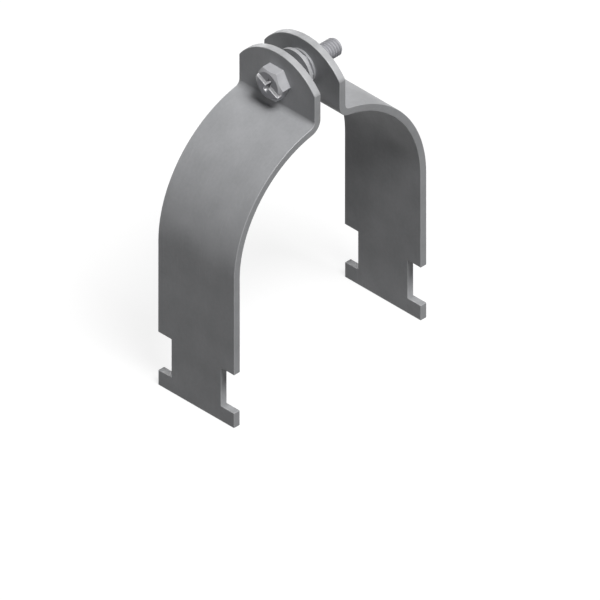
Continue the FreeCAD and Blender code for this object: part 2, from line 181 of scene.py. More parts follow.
class StrapSizes(PropertyGroup):
    """The straps' blank and its bends."""

    seat_radius: length(
        "Seat Radius", "Inside radius of the round seat", PIPE_SEAT["dims"]["r_mm"] * MM
    )
    thickness: length("Thickness", "Thickness of the strip", 2.5 * MM)
    width: length("Width", "Width of the strip", STRAP_HIGH.y - STRAP_LOW.y)
    leg_length: length("Leg Length", "Straight leg below the seat", -STRAP_LOW.z)
    hook_height: length("Hook Height", "Height of the hooks below the notches", 5.45 * MM)
    notch_height: length("Notch Height", "Height of the notches above the hooks", 13.8 * MM)
    notch_depth: length("Notch Depth", "Depth of the notches from the strip's sides", 5.5 * MM)
    bend_radius: length(
        "Bend Radius", "Inside radius of the bend between seat and ear", 2.0 * MM
    )
    half_gap: length(
        "Half Gap", "From the middle of the clamp to the ear's inner face", -STRAP_HIGH.x
    )
    ear_top: length("Ear Top", "Height of the ear's top above the seat's axis", STRAP_HIGH.z)
    crown_rise: length(
        "Crown Rise", "Rise of the ear's round top above its shoulders", 8.4 * MM
    )
    hole_height: length(
        "Hole Height", "Height of the ear's hole above the seat's axis", SCREW_HEIGHT
    )
    front_hole: length("Front Hole", "Diameter of the front ear's clearance hole", 6.6 * MM)
    rear_hole: length("Rear Hole", "Diameter of the rear ear's hole for the nut", 8.2 * MM)
    edge_radius: length("Edge Radius", "Rounding of the sheared edges", 0.22 * MM)


class ScrewSizes(PropertyGroup):
    """The screw and its thread."""

    diameter: length("Diameter", "Outside diameter of the thread", 6.0 * MM)
    pitch: length("Pitch", "Distance from one turn of the thread to the next", 1.0 * MM)
    head_height: length("Head Height", "Height of the hexagon head", 4.0 * MM)
    tip_chamfer: length("Tip Chamfer", "Chamfer on the screw's tip", 0.5 * MM)
    runout: length("Runout", "Length over which the thread fades out below the head", 1.2 * MM)
    edge_radius: length("Edge Radius", "Rounding of the head's edges", 0.16 * MM)
    steps: IntProperty(
        name="Steps", description="Steps in one turn of the thread", default=48, min=12
    )


class NutSizes(PropertyGroup):
    """The captive nut, from its flange to its riveted end."""

    flange_diameter: length(
        "Flange Diameter", "Diameter of the round flange", NUT_HIGH.z - NUT_LOW.z
    )
    flange_height: length("Flange Height", "Thickness of the round flange", 1.25 * MM)
    hexagon_width: length("Hexagon Width", "Width of the hexagon across its flats", 10.0 * MM)
    hexagon_height: length("Hexagon Height", "Length of the hexagon", 1.5 * MM)
    collar_diameter: length(
        "Collar Diameter", "Diameter of the collar against the ear", 11.9 * MM
    )
    collar_height: length("Collar Height", "Thickness of the collar", 0.75 * MM)
    spigot_diameter: length(
        "Spigot Diameter", "Diameter of the part in the ear's hole", 8.16 * MM
    )
    rivet_diameter: length("Rivet Diameter", "Diameter of the riveted end", 10.0 * MM)
    rivet_height: length("Rivet Height", "Height of the riveted end", 0.5 * MM)
    clearance: length("Thread Clearance", "Radial room between the two threads", 0.05 * MM)
    bore_chamfer: length("Bore Chamfer", "Chamfer at both ends of the thread", 0.5 * MM)
    edge_radius: length("Edge Radius", "Rounding of the turned edges", 0.1 * MM)


class ZincFinish(PropertyGroup):
    """The zinc plating on all the pieces, with painted highlights and painted shade, and the bare
    steel in the slot, which is also a painted highlight.
    """

    strap_colour: colour("Strap Colour", "Zinc on the rolled strip", (0.425, 0.43, 0.443))
    # Darker than the rolled strip: painted shade on the strip's sides.
    sheared_shade_colour: colour(
        "Sheared Colour", "Zinc on the strip's sheared edges", (0.375, 0.38, 0.39)
    )
    # Also the colour of the painted highlights on the ears' round tops, the screw and the nut's
    # flange.
    rubbed_and_highlight_colour: colour(
        "Rubbed Colour", "Zinc where edges and scratches are rubbed bright", (0.72, 0.725, 0.735)
    )
    screw_colour: colour("Screw Colour", "Zinc on the screw", (0.43, 0.43, 0.46))
    nut_colour: colour("Nut Colour", "Zinc on the nut", (0.435, 0.44, 0.455))
    metallic: share("Metallic", "How much of the plating's shine is a metal's", 0.09)
    gloss: share("Gloss", "Level of the clear shine on top", 0.16)
    strap_roughness: share("Strap Roughness", "Roughness of the strip's plating", 0.42)
    screw_roughness: share("Screw Roughness", "Roughness of the screw's plating", 0.36)
    # Bright bare steel: a driver's wear, and also a painted highlight in the slot.
    bare_and_highlight_colour: colour(
        "Bare Colour", "Steel that a driver has rubbed bare in the head's slot", (0.74, 0.74, 0.75)
    )
    bare_metallic: share(
        "Bare Metallic", "How much of the bare steel's shine is a metal's", 0.85
    )
    bare_roughness: share("Bare Roughness", "Roughness of the bare steel", 0.52)
    mottle: share("Mottle", "Strength of the plating's clouding", 0.5)
    grain: share("Grain", "Strength of the rolling lines in the strip", 0.5)
    scuffs: share("Scuffs", "Strength of the light scratches from handling", 0.4)
    # Also sets how bright the painted highlights turn.
    wear_and_highlight: share("Wear", "How bright the rubbed places turn", 0.8)


class StudioSettings(PropertyGroup):
    """The floor, the lamps and the camera."""

    floor_size: length("Floor Size", "Side of the square floor", 6.0)
    floor_colour: colour("Floor Colour", "Colour of the pale floor", (0.26, 0.26, 0.26))
    floor_glow: share("Floor Glow", "Even white that the camera sees on the floor", 0.82)
    key_strength: strength("Key Strength", "Strength of the soft light from above", 3.05)
    key_direction: direction(
        "Key Direction", "Where the light from above comes from", (-0.105, -0.497, 0.861)
    )
    back_strength: strength("Back Strength", "Strength of the soft light from behind", 0.8)
    back_direction: direction(
        "Back Direction", "Where the light from behind comes from", (0.35, 0.90, 0.12)
    )
    softness: FloatProperty(
        name="Softness", description="Angle over which each light is spread",
        default=math.radians(28.0), min=0.0, max=math.pi, subtype="ANGLE",
    )
    ambient: share("Ambient", "Level of the even light all round", 0.015)
    view_width: length("View Width", "Width of the camera's view", 178.9 * MM)
    view_centre: FloatVectorProperty(
        name="View Centre", description="Point at the middle of the picture", size=3,
        default=(1.61 * MM, -1.61 * MM, -34.37 * MM), unit="LENGTH", subtype="TRANSLATION",
    )


def new_group(name, inputs, outputs):
    """An empty shader group with named sockets. Inputs are (name, type, default)."""
    group = bpy.data.node_groups.new(name, "ShaderNodeTree")
    for label, kind, default in inputs:
        socket = group.interface.new_socket(
            label, in_out="INPUT", socket_type="NodeSocket" + kind
        )
        if default is not None:
            socket.default_value = default
    for label, kind in outputs:
        group.interface.new_socket(label, in_out="OUTPUT", socket_type="NodeSocket" + kind)
    return group, group.nodes.new("NodeGroupInput"), group.nodes.new("NodeGroupOutput")


def shared_group(name, build):
    """The shader group of that name, built when it is first needed."""
    return bpy.data.node_groups.get(name) or build(name)


def math_node(tree, operation, first, second, clamp=False):
    """A Math node; each argument is a socket or a number."""
    node = tree.nodes.new("ShaderNodeMath")
    node.operation = operation
    node.use_clamp = clamp
    for socket, value in zip(node.inputs, (first, second)):
        if isinstance(value, (int, float)):
            socket.default_value = value
        else:
            tree.links.new(value, socket)
    return node.outputs[0]


def above_node(tree, value, start, slope):
    """A mask that is 0 up to start and rises to 1 from there."""
    return math_node(tree, "MULTIPLY", math_node(tree, "SUBTRACT", value, start), slope, True)


def scale_node(tree, vector, factor):
    """A colour or a vector times a number; the vector is a socket or a plain colour."""
    node = tree.nodes.new("ShaderNodeVectorMath")
    node.operation = "SCALE"
    if isinstance(vector, bpy.types.NodeSocket):
        tree.links.new(vector, node.inputs[0])
    else:
        node.inputs[0].default_value = vector
    tree.links.new(factor, node.inputs["Scale"])
    return node.outputs["Vector"]


def noise_node(tree, vector, scale, detail, roughness=0.5):
    """A noise texture's value on the given coordinates."""
    node = tree.nodes.new("ShaderNodeTexNoise")
    node.inputs["Scale"].default_value = scale
    node.inputs["Detail"].default_value = detail
    node.inputs["Roughness"].default_value = roughness
    tree.links.new(vector, node.inputs["Vector"])
    return node.outputs["Fac"]


def zinc_cloud_group(name):
    """Soft clouding of a zinc plating: a cloudy tint and a matching change of roughness."""
    group, inside, out = new_group(
        name,
        [("Vector", "Vector", None), ("Colour", "Color", MID_GREY),
         ("Strength", "Float", 0.3), ("Roughness", "Float", 0.4)],
        [("Colour", "Color"), ("Roughness", "Float"), ("Height", "Float")],
    )
    given = inside.outputs
    broad = noise_node(group, given["Vector"], BROAD_CLOUDS, detail=2.0)
    fine = noise_node(group, given["Vector"], FINE_CLOUDS, detail=3.0, roughness=0.6)
    cloud = math_node(
        group, "ADD", math_node(group, "MULTIPLY", broad, BROAD_PART),
        math_node(group, "MULTIPLY", fine, FINE_PART),
    )
    middle = math_node(group, "SUBTRACT", cloud, 0.5)
    signed = math_node(group, "MULTIPLY", middle, given["Strength"])
    tint = scale_node(group, given["Colour"], math_node(group, "ADD", signed, 1.0))
    group.links.new(tint, out.inputs["Colour"])
    change = math_node(group, "MULTIPLY", signed, CLOUD_ROUGHNESS)
    rough = math_node(group, "SUBTRACT", given["Roughness"], change, True)
    group.links.new(rough, out.inputs["Roughness"])
    group.links.new(fine, out.inputs["Height"])
    return group


def rolled_grain_group(name):
    """Fine lines along a rolled strip or round a turned face: noise on stretched coordinates."""
    group, inside, out = new_group(
        name,
        [("Vector", "Vector", None), ("Across", "Float", 2500.0), ("Along", "Float", 90.0)],
        [("Height", "Float"), ("Tone", "Float")],
    )
    apart = group.nodes.new("ShaderNodeSeparateXYZ")
    group.links.new(inside.outputs["Vector"], apart.inputs[0])
    scaled = group.nodes.new("ShaderNodeCombineXYZ")
    for axis, factor in (("X", "Across"), ("Y", "Across"), ("Z", "Along")):
        stretched = math_node(group, "MULTIPLY", apart.outputs[axis], inside.outputs[factor])
        group.links.new(stretched, scaled.inputs[axis])
    lines = noise_node(group, scaled.outputs[0], 1.0, detail=4.0, roughness=0.65)
    group.links.new(lines, out.inputs["Height"])
    group.links.new(math_node(group, "SUBTRACT", lines, 0.5), out.inputs["Tone"])
    return group


def scuff_group(name):
    """Thin scratches that cross each other, in patches, as plating gets in a box of parts."""
    group, inside, out = new_group(
        name,
        [("Vector", "Vector", None), ("Strength", "Float", 0.4)],
        [("Mask", "Float")],
    )
    scratches = None
    for index, (tilt, slant) in enumerate(SCRATCH_SLANTS):
        turned = group.nodes.new("ShaderNodeMapping")
        turned.inputs["Rotation"].default_value = (tilt, slant, 0.3 * index)
        turned.inputs["Location"].default_value = (0.013 * index, 0.0, 0.007 * index)
        turned.inputs["Scale"].default_value = (
            SCRATCHES_ACROSS, SCRATCHES_ACROSS, SCRATCHES_ALONG
        )
        group.links.new(inside.outputs["Vector"], turned.inputs["Vector"])
        lines = noise_node(group, turned.outputs[0], 1.0, detail=1.0, roughness=0.4)
        thin = above_node(group, lines, start=0.68, slope=9.0)
        if scratches is None:
            scratches = thin
        else:
            scratches = math_node(group, "MAXIMUM", scratches, thin)
    patches = noise_node(group, inside.outputs["Vector"], SCRATCH_PATCHES, detail=2.0)
    where = above_node(group, patches, start=0.42, slope=4.0)
    placed = math_node(group, "MULTIPLY", scratches, where)
    mask = math_node(group, "MULTIPLY", placed, inside.outputs["Strength"], True)
    group.links.new(mask, out.inputs["Mask"])
    return group


def rub_and_highlight_group(name):
    """Brighter, smoother plating where edges are rubbed and where faces get a painted highlight,
    broken up by noise.
    """
    group, inside, out = new_group(
        name,
        [("Vector", "Vector", None), ("Edge", "Float", 0.0), ("Colour", "Color", MID_GREY),
         ("Rubbed", "Color", PALE_GREY), ("Roughness", "Float", 0.4), ("Amount", "Float", 0.5)],
        [("Colour", "Color"), ("Roughness", "Float")],
    )
    given = inside.outputs
    patches = noise_node(group, given["Vector"], WEAR_PATCHES, detail=3.0, roughness=0.6)
    broken = math_node(group, "ADD", patches, LEAST_WEAR)
    kept = math_node(group, "MULTIPLY", broken, given["Edge"], True)
    mask = math_node(group, "MULTIPLY", kept, given["Amount"], True)
    mix = group.nodes.new("ShaderNodeMix")
    mix.data_type = "RGBA"
    group.links.new(mask, mix.inputs["Factor"])
    group.links.new(given["Colour"], mix.inputs[MIX_A])
    group.links.new(given["Rubbed"], mix.inputs[MIX_B])
    group.links.new(mix.outputs[MIX_RESULT], out.inputs["Colour"])
    polish = math_node(group, "MULTIPLY", mask, WEAR_POLISH)
    rough = math_node(group, "SUBTRACT", given["Roughness"], polish, True)
    group.links.new(rough, out.inputs["Roughness"])
    return group


def group_node(tree, group, **values):
    """A group placed in a material. Values are sockets, numbers or colours."""
    node = tree.nodes.new("ShaderNodeGroup")
    node.node_tree = group
    for label, value in values.items():
        socket = node.inputs[label]
        if isinstance(value, bpy.types.NodeSocket):
            tree.links.new(value, socket)
        elif isinstance(value, (int, float)):
            socket.default_value = value
        else:
            socket.default_value = (*value, 1.0)
    return node


def attribute_node(tree, name, output):
    """A named attribute of the mesh."""
    node = tree.nodes.new("ShaderNodeAttribute")
    node.attribute_type = "GEOMETRY"
    node.attribute_name = name
    return node.outputs[output]


# The rubbed colour paints rubbed wear and painted highlights.
def zinc_material(name, finish, metal, rubbed, roughness, surface, grain, metallic):
    """Plated steel with grain, clouding, scratches, rubbed places and painted highlights.

    The surface is ROLLED_FACE, SHEARED_FACE or TURNED_FACE. The strip's grain follows the flat
    blank, and the screw's and the nut's follow the object's own coordinates.
    """
    coordinates, across, along = surface
    material = bpy.data.materials.new(name)
    material.use_nodes = True
    tree = material.node_tree
    shader = tree.nodes["Principled BSDF"]
    shader.inputs["Metallic"].default_value = metallic
    shader.inputs["Specular IOR Level"].default_value = finish.gloss
    if coordinates == "blank":
        vector = attribute_node(tree, "blank", "Vector")
    else:
        vector = tree.nodes.new("ShaderNodeTexCoord").outputs["Object"]
    lines = group_node(
        tree, shared_group("Rolled Grain", rolled_grain_group),
        Vector=vector, Across=across, Along=along,
    )
    cloud = group_node(
        tree, shared_group("Zinc Cloud", zinc_cloud_group),
        Vector=vector, Colour=metal, Strength=finish.mottle, Roughness=roughness,
    )
    scuffs = group_node(
        tree, shared_group("Scuffs", scuff_group), Vector=vector, Strength=finish.scuffs
    )
    # The rub layer holds rubbed edges and painted highlights; the scuffs are real wear.
    worn_or_highlighted = math_node(
        tree, "MAXIMUM", attribute_node(tree, "rub", "Fac"), scuffs.outputs["Mask"]
    )
    rub = group_node(
        tree, shared_group("Edge Rub", rub_and_highlight_group),
        Vector=vector, Edge=worn_or_highlighted, Colour=cloud.outputs["Colour"], Rubbed=rubbed,
        Roughness=cloud.outputs["Roughness"], Amount=finish.wear_and_highlight,
    )
    tree.links.new(rub.outputs["Colour"], shader.inputs["Base Color"])
    streak = math_node(tree, "MULTIPLY", lines.outputs["Tone"], grain * STREAK_ROUGHNESS)
    rough = math_node(tree, "ADD", rub.outputs["Roughness"], streak, True)
    tree.links.new(rough, shader.inputs["Roughness"])
    bump = tree.nodes.new("ShaderNodeBump")
    bump.inputs["Strength"].default_value = grain
    bump.inputs["Distance"].default_value = BUMP_DEPTH
    height = math_node(
        tree, "ADD", math_node(tree, "MULTIPLY", lines.outputs["Height"], LINES_BUMP),
        math_node(tree, "MULTIPLY", cloud.outputs["Height"], CLOUDS_BUMP),
    )
    tree.links.new(height, bump.inputs["Height"])
    tree.links.new(bump.outputs["Normal"], shader.inputs["Normal"])
    return material


def add_piece(name, bm, body, node, materials):
    """Puts a finished mesh in the scene in place of a CAD node, riding on the node's body."""
    mesh = bpy.data.meshes.new(name)
    bm.to_mesh(mesh)
    bm.free()
    for material in materials:
        mesh.materials.append(material)
    piece = bpy.data.objects.new(name, mesh)
    bpy.context.scene.collection.objects.link(piece)
    normals = piece.modifiers.new("Even Normals", "WEIGHTED_NORMAL")
    normals.keep_sharp = True
    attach(piece, body)
    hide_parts(node)


def round_edges(bm, radius, least_angle, segments, edges):
    """Rounds the convex edges sharper than least_angle, and marks the new faces as edge."""
    edge_layer = bm.faces.layers.float.new("edge")
    sharp = [
        e for e in edges
        if len(e.link_faces) == 2 and e.is_convex and e.calc_face_angle(0.0) > least_angle
    ]
    made = bmesh.ops.bevel(
        bm, geom=sharp, offset=radius, offset_type="OFFSET", affect="EDGES",
        segments=segments, profile=0.5, material=-1, clamp_overlap=True, loop_slide=True,
    )
    for face in made["faces"]:
        face[edge_layer] = 1.0


def mark_rub_and_highlight(bm, amount):
    """Marks how bright each face is made: by amount(face), which is a painted highlight, and the
    rounded edges as rubbed wear.
    """
    edge = bm.faces.layers.float["edge"]
    rub = bm.faces.layers.float.new("rub")
    for face in bm.faces:
        face[rub] = max(amount(face), RUB_EDGES * face[edge])


def smooth_shade(bm):
    """Shades the faces smooth, with creases kept sharp except on the rounded edges."""
    rounded = bm.faces.layers.float["edge"]
    for face in bm.faces:
        face.smooth = True
    for edge in bm.edges:
        on_edge = any(f[rounded] > 0.5 for f in edge.link_faces)
        edge.smooth = on_edge or edge.calc_face_angle(0.0) < CREASE


def use_second_material(bm, layer_name):
    """Gives the piece's second material to the faces marked in a layer."""
    layer = bm.faces.layers.float[layer_name]
    for face in bm.faces:
        face.material_index = int(face[layer] > 0.5)


def cut_across(bm, point, normal, outer=False, inner=False):
    """Cuts all the faces along a plane, and clears one side if asked."""
    bmesh.ops.bisect_plane(
        bm, geom=bm.verts[:] + bm.edges[:] + bm.faces[:], dist=ON_PLANE,
        plane_co=point, plane_no=normal, clear_outer=outer, clear_inner=inner,
    )


def join_mesh(bm, other):
    """Adds the second bmesh to the first, and frees it."""
    mesh = bpy.data.meshes.new("joined")
    other.to_mesh(mesh)
    other.free()
    bm.from_mesh(mesh)
    bpy.data.meshes.remove(mesh)


class StrapPath:
    """The strip's middle line: leg, seat, reverse bend and ear, with lengths along it."""

    def __init__(self, sizes):
        half = sizes.thickness / 2
        self.seat = sizes.seat_radius + half
        self.bend = sizes.bend_radius + half
        self.bend_x = sizes.half_gap + sizes.thickness + sizes.bend_radius
        reach = self.seat + self.bend
        self.sweep = math.pi / 2 - math.asin(self.bend_x / reach)
        self.bend_z = math.sqrt(reach ** 2 - self.bend_x ** 2)
        self.leg_end = sizes.leg_length
        self.seat_end = self.leg_end + self.seat * self.sweep
        self.bend_end = self.seat_end + self.bend * self.sweep
        self.ear_end = self.bend_end + sizes.ear_top - self.bend_z

    def place(self, flat):
        """Where a point (through, across, along) of the flat blank goes on the front strap."""
        through, across, along = flat
        if along <= self.leg_end:
            return Vector((through - self.seat, across, along - self.leg_end))
        if along <= self.seat_end:
            turn = (along - self.leg_end) / self.seat
            radius = self.seat - through
            return Vector((-radius * math.cos(turn), across, radius * math.sin(turn)))
        turn = min((along - self.seat_end) / self.bend, self.sweep) - self.sweep
        radius = self.bend + through
        rise = max(along - self.bend_end, 0.0)
        height = self.bend_z + radius * math.sin(turn) + rise
        return Vector((radius * math.cos(turn) - self.bend_x, across, height))


def flat_blank(sizes, path, hole):
    """The flat blank: foot, hooks, notches, straight sides, round top and the ear's hole."""
    bm = bmesh.new()
    side = sizes.width / 2
    neck = side - sizes.notch_depth
    shoulder = path.ear_end - sizes.crown_rise
    crown = (side ** 2 + sizes.crown_rise ** 2) / (2 * sizes.crown_rise)
    notch_top = sizes.hook_height + sizes.notch_height
    corners = [
        (side, shoulder), (side, notch_top), (neck, notch_top), (neck, sizes.hook_height),
        (side, sizes.hook_height), (side, 0.0),
    ]
    right = [bm.verts.new((0.0, across, along)) for across, along in corners]
    left = [bm.verts.new((0.0, -across, along)) for across, along in corners]
    for chain in (right, left):
        for start, end in zip(chain, chain[1:]):
            bm.edges.new((start, end))
    bm.edges.new((right[-1], left[-1]))
    bmesh.ops.spin(
        bm, geom=[right[0]], cent=(0.0, 0.0, path.ear_end - crown), axis=(1.0, 0.0, 0.0),
        angle=2 * math.asin(side / crown), steps=CROWN_STEPS, use_merge=False,
        use_duplicate=False,
    )
    bmesh.ops.remove_doubles(bm, verts=bm.verts[:], dist=SAME_PLACE)
    in_ear = Matrix.Translation((0.0, 0.0, path.bend_end + sizes.hole_height - path.bend_z))
    bmesh.ops.create_circle(
        bm, cap_ends=False, segments=HOLE_STEPS, radius=hole / 2,
        matrix=in_ear @ Matrix.Rotation(math.pi / 2, 4, "Y"),
    )
    bmesh.ops.triangle_fill(
        bm, use_beauty=True, use_dissolve=True, edges=bm.edges[:], normal=(1.0, 0.0, 0.0)
    )
    return bm


def bent_strap(sizes, hole):
    """One strap: the blank is cut across at the bends, thickened, rounded and then bent."""
    path = StrapPath(sizes)
    bm = flat_blank(sizes, path, hole)
    seat, bend = path.seat_end - path.leg_end, path.bend_end - path.seat_end
    seat_cuts = [path.leg_end + seat * i / SEAT_STEPS for i in range(SEAT_STEPS)]
    bend_cuts = [path.seat_end + bend * i / BEND_STEPS for i in range(BEND_STEPS + 1)]
    for along in seat_cuts + bend_cuts:
        cut_across(bm, (0.0, 0.0, along), (0.0, 0.0, 1.0))
    made = bmesh.ops.extrude_face_region(bm, geom=bm.faces[:])
    raised = [v for v in made["geom"] if isinstance(v, bmesh.types.BMVert)]
    bmesh.ops.translate(bm, verts=raised, vec=(sizes.thickness, 0.0, 0.0))
    bmesh.ops.translate(bm, verts=bm.verts[:], vec=(-sizes.thickness / 2, 0.0, 0.0))
    bmesh.ops.recalc_face_normals(bm, faces=bm.faces[:])
    round_edges(bm, sizes.edge_radius, SHEARED_CORNER, 3, bm.edges)
    sheared = bm.faces.layers.float.new("sheared")
    for face in bm.faces:
        looks_sideways = abs(face.normal.x) < SIDEWAYS
        face[sheared] = float(looks_sideways)
    shoulder = path.ear_end - sizes.crown_rise

    # Painted highlight: the ears' round tops are made bright all the way round.
    def highlight_of(face):
        on_crown = face[sheared] > 0.5 and face.calc_center_median().z > shoulder
        return CROWN_HIGHLIGHT if on_crown else 0.0

    mark_rub_and_highlight(bm, highlight_of)
    blank = bm.verts.layers.float_vector.new("blank")
    for vert in bm.verts:
        vert[blank] = vert.co
        vert.co = path.place(vert.co)
    bmesh.ops.recalc_face_normals(bm, faces=bm.faces[:])
    smooth_shade(bm)
    return bm


def threaded_bar(bm, sizes, start, end, room):
    """A thread's surface between two planes: one pitch of its profile, spun along the screw."""
    pitch = sizes.pitch
    crest = sizes.diameter / 2 + room
    root = crest - THREAD_DEPTH * pitch
    profile = [
        (0, root), (2 / 16, root), (7 / 16, crest), (9 / 16, crest), (14 / 16, root), (1, root)
    ]
    first = math.floor(start / pitch - 2) * pitch
    turns = math.ceil((end - first) / pitch) + 1
    chain = [
        bm.verts.new((first + part * pitch, 0.0, SCREW_HEIGHT + radius))
        for part, radius in profile
    ]
    links = [bm.edges.new(pair) for pair in zip(chain, chain[1:])]
    bmesh.ops.spin(
        bm, geom=chain + links, cent=(0.0, 0.0, SCREW_HEIGHT), axis=(1.0, 0.0, 0.0),
        dvec=(pitch / sizes.steps, 0.0, 0.0), angle=2 * math.pi * turns,
        steps=sizes.steps * turns, use_merge=False, use_duplicate=False,
    )
    bmesh.ops.remove_doubles(bm, verts=bm.verts[:], dist=2 * SAME_PLACE)
    cut_across(bm, (start, 0.0, 0.0), (1.0, 0.0, 0.0), inner=True)
    cut_across(bm, (end, 0.0, 0.0), (1.0, 0.0, 0.0), outer=True)


def limit_radius(verts, least=None, most=None):
    """Moves points in or out from the screw's axis, to radii that depend on their X."""
    for vert in verts:
        away = Vector((0.0, vert.co.y, vert.co.z - SCREW_HEIGHT))
        radius = away.length
        if least:
            radius = max(radius, least(vert.co.x))
        if most:
            radius = min(radius, most(vert.co.x))
        away *= radius / away.length
        vert.co.y, vert.co.z = away.y, away.z + SCREW_HEIGHT


def rim_at(bm, x):
    """The open edges of the mesh that lie in the plane at x."""
    return [
        e for e in bm.edges
        if e.is_boundary and all(abs(v.co.x - x) < SAME_PLACE for v in e.verts)
    ]


def is_bare_and_highlighted(point):
    """Whether the head is bare there, rubbed by a driver and made bright as a painted highlight in
    the slot: on the slot's walls and the cross's ends.
    """
    away = point - Vector((0.0, 0.0, SCREW_HEIGHT))
    depth = away.x - SCREW_LOW.x
    away.x = 0.0
    slot = Matrix.Rotation(SLOT_ANGLE, 3, "X") @ Vector((0.0, 1.0, 0.0))
    off_middle = abs(away.dot(slot)) > CROSS_MIDDLE or away.cross(slot).length > ARM_END
    return BARE_HIGHLIGHT_FROM < depth < BARE_HIGHLIGHT_TO and away.length < BARE_HIGHLIGHT_RADIUS and off_middle


def screw_shape(sizes):
    """The head, copied from the CAD node and rounded, on a threaded shank."""
    bearing = SCREW_LOW.x + sizes.head_height
    neck = bearing + SEAM
    tip = SCREW_HIGH.x
    bm = bmesh.new()
    bm.from_mesh(frame["nodes"]["clamp_screw"].data)
    bmesh.ops.remove_doubles(bm, verts=bm.verts[:], dist=SAME_PLACE)
    cut_across(bm, (neck, 0.0, 0.0), (1.0, 0.0, 0.0), outer=True)
    bmesh.ops.dissolve_limit(
        bm, angle_limit=ONE_FACET, use_dissolve_boundaries=False,
        verts=bm.verts[:], edges=bm.edges[:],
    )
    # Faces of the slot and cross that are bare steel, made bright as a painted highlight.
    bare = bm.faces.layers.float.new("bare")
    for face in bm.faces:
        face[bare] = float(is_bare_and_highlighted(face.calc_center_median()))
    low, high = CONE_SLOPES
    off_cone = [e for e in bm.edges if not any(low < f.normal.x < high for f in e.link_faces)]
    round_edges(bm, sizes.edge_radius, TURNED_CORNER, 2, off_cone)

    shank = bmesh.new()
    threaded_bar(shank, sizes, neck + SEAM, tip, 0.0)
    full = sizes.diameter / 2

    def runout(x):
        past = max(0.0, x - bearing - RUNOUT_START)
        return full - past * THREAD_DEPTH * sizes.pitch / sizes.runout

    def chamfer(x):
        return full - max(0.0, sizes.tip_chamfer - (tip - x))

    limit_radius(shank.verts, least=runout, most=chamfer)
    bmesh.ops.edgeloop_fill(shank, edges=rim_at(shank, tip))
    join_mesh(bm, shank)
    bmesh.ops.bridge_loops(bm, edges=rim_at(bm, neck) + rim_at(bm, neck + SEAM))
    bmesh.ops.recalc_face_normals(bm, faces=bm.faces[:])

    # Painted highlight on the head and, weaker, on the thread; the head's front face keeps its own
    # colour.
    def highlight_of(face):
        x = face.calc_center_median().x
        if x < SCREW_LOW.x + FRONT_FACE:
            return 0.0
        return HEAD_HIGHLIGHT if x < neck else THREAD_HIGHLIGHT

    mark_rub_and_highlight(bm, highlight_of)
    smooth_shade(bm)
    return bm


def nut_shape(sizes, screw):
    """The nut's rings, drawn out one by one from its front edge, and closed by its thread."""
    front, back = NUT_LOW.x, NUT_HIGH.x
    mouth = screw.diameter / 2 + sizes.clearance + sizes.bore_chamfer
    rim = mouth + SEAM
    hexagon_from = front + sizes.flange_height
    collar_from = hexagon_from + sizes.hexagon_height
    spigot_from = collar_from + sizes.collar_height
    rivet_from = back - sizes.rivet_height
    flange, hexagon = sizes.flange_diameter / 2, sizes.hexagon_width / 2
    collar, spigot = sizes.collar_diameter / 2, sizes.spigot_diameter / 2
    rivet = sizes.rivet_diameter / 2
    rings = [  # Place along the axis, radius, and whether it has six sides.
        (front, rim, False), (front, flange, False), (hexagon_from, flange, False),
        (hexagon_from, hexagon, True), (collar_from, hexagon, True),
        (collar_from, collar, False), (spigot_from, collar, False),
        (spigot_from, spigot, False), (rivet_from, spigot, False), (rivet_from, rivet, False),
        (back, rivet - sizes.rivet_height * RIVET_SLOPE, False), (back, rim, False),
    ]
    bm = bmesh.new()
    on_axis = Matrix.Translation((0.0, 0.0, SCREW_HEIGHT)) @ Matrix.Rotation(math.pi / 2, 4, "Y")
    bmesh.ops.create_circle(
        bm, cap_ends=False, segments=NUT_STEPS, radius=MM, matrix=on_axis
    )
    edges, verts = bm.edges[:], bm.verts[:]
    side = math.pi / 3
    for index, (x, radius, six_sided) in enumerate(rings):
        if index:
            made = bmesh.ops.extrude_edge_only(bm, edges=edges)["geom"]
            edges = [e for e in made if isinstance(e, bmesh.types.BMEdge) and e.is_boundary]
            verts = [v for v in made if isinstance(v, bmesh.types.BMVert)]
        for vert in verts:
            away = Vector((0.0, vert.co.y, vert.co.z - SCREW_HEIGHT)).normalized()
            reach = radius
            if six_sided:
                turn = (math.atan2(away.z, away.y) + side / 2) % side - side / 2
                reach = radius / math.cos(abs(turn) - side / 2)
            vert.co = Vector((x, 0.0, SCREW_HEIGHT)) + away * reach
    bmesh.ops.recalc_face_normals(bm, faces=bm.faces[:])
    round_edges(bm, sizes.edge_radius, TURNED_CORNER, 2, bm.edges)

    thread = bmesh.new()
    threaded_bar(thread, screw, front, back, sizes.clearance)
    limit_radius(thread.verts, least=lambda x: mouth - min(x - front, back - x))
    join_mesh(bm, thread)
    bmesh.ops.bridge_loops(bm, edges=rim_at(bm, front))
    bmesh.ops.bridge_loops(bm, edges=rim_at(bm, back))
    bmesh.ops.recalc_face_normals(bm, faces=bm.faces[:])
    flange_to = hexagon_from - sizes.edge_radius
    # Painted highlight on the flange.
    mark_rub_and_highlight(bm, lambda f: FLANGE_HIGHLIGHT if f.calc_center_median().x < flange_to else 0.0)
    smooth_shade(bm)
    return bm


